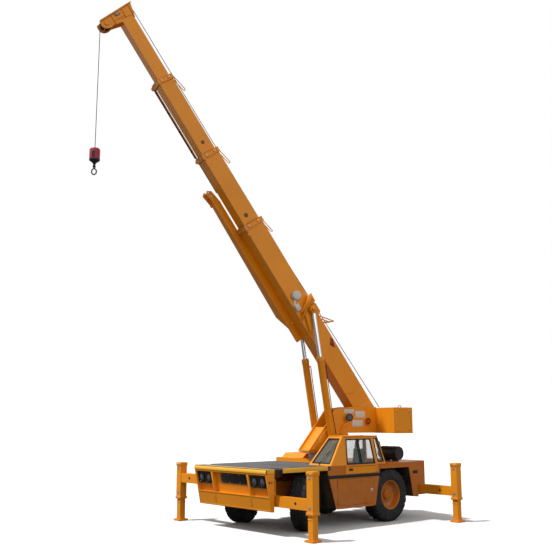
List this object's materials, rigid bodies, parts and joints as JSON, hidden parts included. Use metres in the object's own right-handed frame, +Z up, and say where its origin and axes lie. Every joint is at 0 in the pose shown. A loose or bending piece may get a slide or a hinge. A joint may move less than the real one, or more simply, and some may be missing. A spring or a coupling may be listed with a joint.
{
  "type": "mobile crane",
  "caption": "Carry-deck mobile crane with a flat load deck, side cab, box outriggers and a slewing turret with a telescopic boom, hoist rope and hook block.",
  "frame": {"origin": "centre of the bounding box at ground level, under the wheels and outrigger feet", "axes": "+Z up, -Y towards the front of the carrier, +X towards its left side, where the cab is"},
  "size_m": [4.654, 8.003, 11.7231],
  "materials": {
    "yellow_paint": "gloss enamel, dusty and lightly scratched",
    "black_paint": "satin black paint",
    "deck_coat": "matt dark grit coating, scuffed",
    "tyre_rubber": "matt rubber, dusty",
    "chrome": "polished hard chrome",
    "steel": "dull bare and painted steel",
    "glass": "clear safety glass with a faint green tint",
    "red_paint": "worn red enamel",
    "white_paint": "white enamel",
    "seat_vinyl": "black vinyl",
    "wire_rope": "greased wire rope",
    "lamp_housing": "black plastic",
    "weight_paint": "gloss enamel on a cast block",
    "axle_black": "black chassis paint"
  },
  "bodies": {
    "chassis": {"chassis_frame": "yellow_paint", "load_deck": "deck_coat", "front_bumper": "yellow_paint", "left_headlight": "lamp_housing", "right_headlight": "lamp_housing", "front_outrigger_housing": "yellow_paint", "rear_outrigger_housing": "yellow_paint", "front_axle": "axle_black", "rear_axle": "axle_black", "cab_shell": "yellow_paint", "quarter_glass": "glass", "windscreen": "glass", "cab_tub": "yellow_paint", "seat": "seat_vinyl", "steering_wheel": "black_paint", "right_hood": "yellow_paint", "side_tank": "yellow_paint", "rear_body": "yellow_paint", "engine": "steel", "air_cleaner": "black_paint", "slew_ring": "steel"},
    "left_knuckle": {"left_steering_knuckle": "axle_black"},
    "front_left_wheel": {"front_left_rim": "yellow_paint", "front_left_tyre": "tyre_rubber"},
    "rear_left_wheel": {"rear_left_rim": "yellow_paint", "rear_left_tyre": "tyre_rubber"},
    "right_knuckle": {"right_steering_knuckle": "axle_black"},
    "front_right_wheel": {"front_right_rim": "yellow_paint", "front_right_tyre": "tyre_rubber"},
    "rear_right_wheel": {"rear_right_rim": "yellow_paint", "rear_right_tyre": "tyre_rubber"},
    "front_left_beam": {"front_left_outrigger_beam": "yellow_paint"},
    "front_left_leg": {"front_left_outrigger_leg": "yellow_paint"},
    "front_right_beam": {"front_right_outrigger_beam": "yellow_paint"},
    "front_right_leg": {"front_right_outrigger_leg": "yellow_paint"},
    "rear_left_beam": {"rear_left_outrigger_beam": "yellow_paint"},
    "rear_left_leg": {"rear_left_outrigger_leg": "yellow_paint"},
    "rear_right_beam": {"rear_right_outrigger_beam": "yellow_paint"},
    "rear_right_leg": {"rear_right_outrigger_leg": "yellow_paint"},
    "turret": {"turret": "yellow_paint", "counterweight": "weight_paint"},
    "winch": {"winch_drum": "steel"},
    "boom_base": {"boom_base_section": "yellow_paint", "stowed_jib": "yellow_paint", "cable_reel": "white_paint"},
    "boom_second": {"boom_second_section": "yellow_paint"},
    "boom_third": {"boom_third_section": "yellow_paint"},
    "boom_fourth": {"boom_fourth_section": "yellow_paint", "boom_head": "yellow_paint"},
    "sheave": {"head_sheave": "black_paint"},
    "hook": {"hoist_rope": "wire_rope", "hook_block": "red_paint"},
    "left_lift_barrel": {"left_lift_cylinder_barrel": "yellow_paint"},
    "left_lift_rod": {"left_lift_cylinder_rod": "chrome"},
    "right_lift_barrel": {"right_lift_cylinder_barrel": "yellow_paint"},
    "right_lift_rod": {"right_lift_cylinder_rod": "chrome"},
    "door": {"cab_door": "yellow_paint", "door_glass": "glass"},
    "hatch": {"side_hatch": "yellow_paint"}
  },
  "joints": [
    {"name": "left_steer", "type": "hinge", "parent": "chassis", "child": "left_knuckle", "pos_m": [0.88, -0.04847, 0.594], "axis": [0, 0, 1], "range_deg": [-56, 3]},
    {"name": "front_left_wheel_spin", "type": "hinge", "parent": "left_knuckle", "child": "front_left_wheel", "pos_m": [0.98392, 0.01153, 0.594], "axis": [0.866, 0.5, 0], "continuous": true},
    {"name": "rear_left_wheel_spin", "type": "hinge", "parent": "chassis", "child": "rear_left_wheel", "pos_m": [1, 2.51353, 0.594], "axis": [1, 0, 0], "continuous": true},
    {"name": "right_steer", "type": "hinge", "parent": "chassis", "child": "right_knuckle", "pos_m": [-0.88, -0.04847, 0.594], "axis": [0, 0, 1], "range_deg": [-44.8, 2.4]},
    {"name": "front_right_wheel_spin", "type": "hinge", "parent": "right_knuckle", "child": "front_right_wheel", "pos_m": [-0.99126, -0.09343, 0.594], "axis": [0.9272, 0.3746, 0], "continuous": true},
    {"name": "rear_right_wheel_spin", "type": "hinge", "parent": "chassis", "child": "rear_right_wheel", "pos_m": [-1, 2.51353, 0.594], "axis": [1, 0, 0], "continuous": true},
    {"name": "front_left_beam_slide", "type": "slide", "parent": "chassis", "child": "front_left_beam", "axis": [1, 0, 0], "range_m": [-1.07, 0]},
    {"name": "front_left_leg_slide", "type": "slide", "parent": "front_left_beam", "child": "front_left_leg", "axis": [0, 0, -1], "range_m": [-0.38, 0.12]},
    {"name": "front_right_beam_slide", "type": "slide", "parent": "chassis", "child": "front_right_beam", "axis": [-1, 0, 0], "range_m": [-1.07, 0]},
    {"name": "front_right_leg_slide", "type": "slide", "parent": "front_right_beam", "child": "front_right_leg", "axis": [0, 0, -1], "range_m": [-0.38, 0.12]},
    {"name": "rear_left_beam_slide", "type": "slide", "parent": "chassis", "child": "rear_left_beam", "axis": [1, 0, 0], "range_m": [-1.07, 0]},
    {"name": "rear_left_leg_slide", "type": "slide", "parent": "rear_left_beam", "child": "rear_left_leg", "axis": [0, 0, -1], "range_m": [-0.38, 0.12]},
    {"name": "rear_right_beam_slide", "type": "slide", "parent": "chassis", "child": "rear_right_beam", "axis": [-1, 0, 0], "range_m": [-1.07, 0]},
    {"name": "rear_right_leg_slide", "type": "slide", "parent": "rear_right_beam", "child": "rear_right_leg", "axis": [0, 0, -1], "range_m": [-0.38, 0.12]},
    {"name": "slew", "type": "hinge", "parent": "chassis", "child": "turret", "pos_m": [0, 1.50153, 1.54], "axis": [0, 0, 1], "continuous": true},
    {"name": "winch_spin", "type": "hinge", "parent": "turret", "child": "winch", "pos_m": [0.44791, 3.06358, 2.425], "axis": [0.9613, -0.2756, 0], "continuous": true},
    {"name": "luff", "type": "hinge", "parent": "turret", "child": "boom_base", "pos_m": [0.29714, 2.53777, 2.252], "axis": [-0.9613, 0.2756, 0], "range_deg": [-55.4, 19.6]},
    {"name": "second_section_slide", "type": "slide", "parent": "boom_base", "child": "boom_second", "axis": [-0.1565, -0.5458, 0.8231], "range_m": [-1.7, 1.7]},
    {"name": "third_section_slide", "type": "slide", "parent": "boom_second", "child": "boom_third", "axis": [-0.1565, -0.5458, 0.8231], "range_m": [-1.74, 1.66]},
    {"name": "fourth_section_slide", "type": "slide", "parent": "boom_third", "child": "boom_fourth", "axis": [-0.1565, -0.5458, 0.8231], "range_m": [-1.48, 1.7]},
    {"name": "head_sheave_turn", "type": "hinge", "parent": "boom_fourth", "child": "sheave", "pos_m": [-1.51351, -3.77671, 11.0839], "axis": [-0.9613, 0.2756, 0], "range_deg": [-19.6, 55.4]},
    {"name": "hoist_slide", "type": "slide", "parent": "sheave", "child": "hook", "axis": [0, 0, -1], "range_m": [-2.2, 7.2]},
    {"name": "left_lift_barrel_turn", "type": "hinge", "parent": "turret", "child": "left_lift_barrel", "pos_m": [0.38044, 1.44965, 1.76], "axis": [-0.9613, 0.2756, 0], "range_deg": [-56, 20]},
    {"name": "left_lift_rod_slide", "type": "slide", "parent": "left_lift_barrel", "child": "left_lift_rod", "axis": [-0.0423, -0.1474, 0.9882], "range_m": [-1.04, 0.37]},
    {"name": "right_lift_barrel_turn", "type": "hinge", "parent": "turret", "child": "right_lift_barrel", "pos_m": [-0.35012, 1.65914, 1.76], "axis": [-0.9613, 0.2756, 0], "range_deg": [-56, 20]},
    {"name": "right_lift_rod_slide", "type": "slide", "parent": "right_lift_barrel", "child": "right_lift_rod", "axis": [-0.0423, -0.1474, 0.9882], "range_m": [-1.04, 0.37]},
    {"name": "cab_door_swing", "type": "hinge", "parent": "chassis", "child": "door", "pos_m": [1.2325, 2.01453, 1.23], "axis": [0, 0, 1], "range_deg": [0, 80]},
    {"name": "side_hatch_swing", "type": "hinge", "parent": "chassis", "child": "hatch", "pos_m": [1.2325, 0.74553, 0.74], "axis": [0, 0, -1], "range_deg": [0, 90]}
  ],
  "couplings": [
    {"joint": "right_steer", "follows": "left_steer", "ratio": 0.8},
    {"joint": "head_sheave_turn", "follows": "luff", "ratio": -1},
    {"joint": "left_lift_barrel_turn", "follows": "luff", "ratio": 1},
    {"joint": "left_lift_rod_slide", "follows": "luff", "m_per_rad": 1.055},
    {"joint": "right_lift_barrel_turn", "follows": "luff", "ratio": 1},
    {"joint": "right_lift_rod_slide", "follows": "luff", "m_per_rad": 1.055}
  ]
}
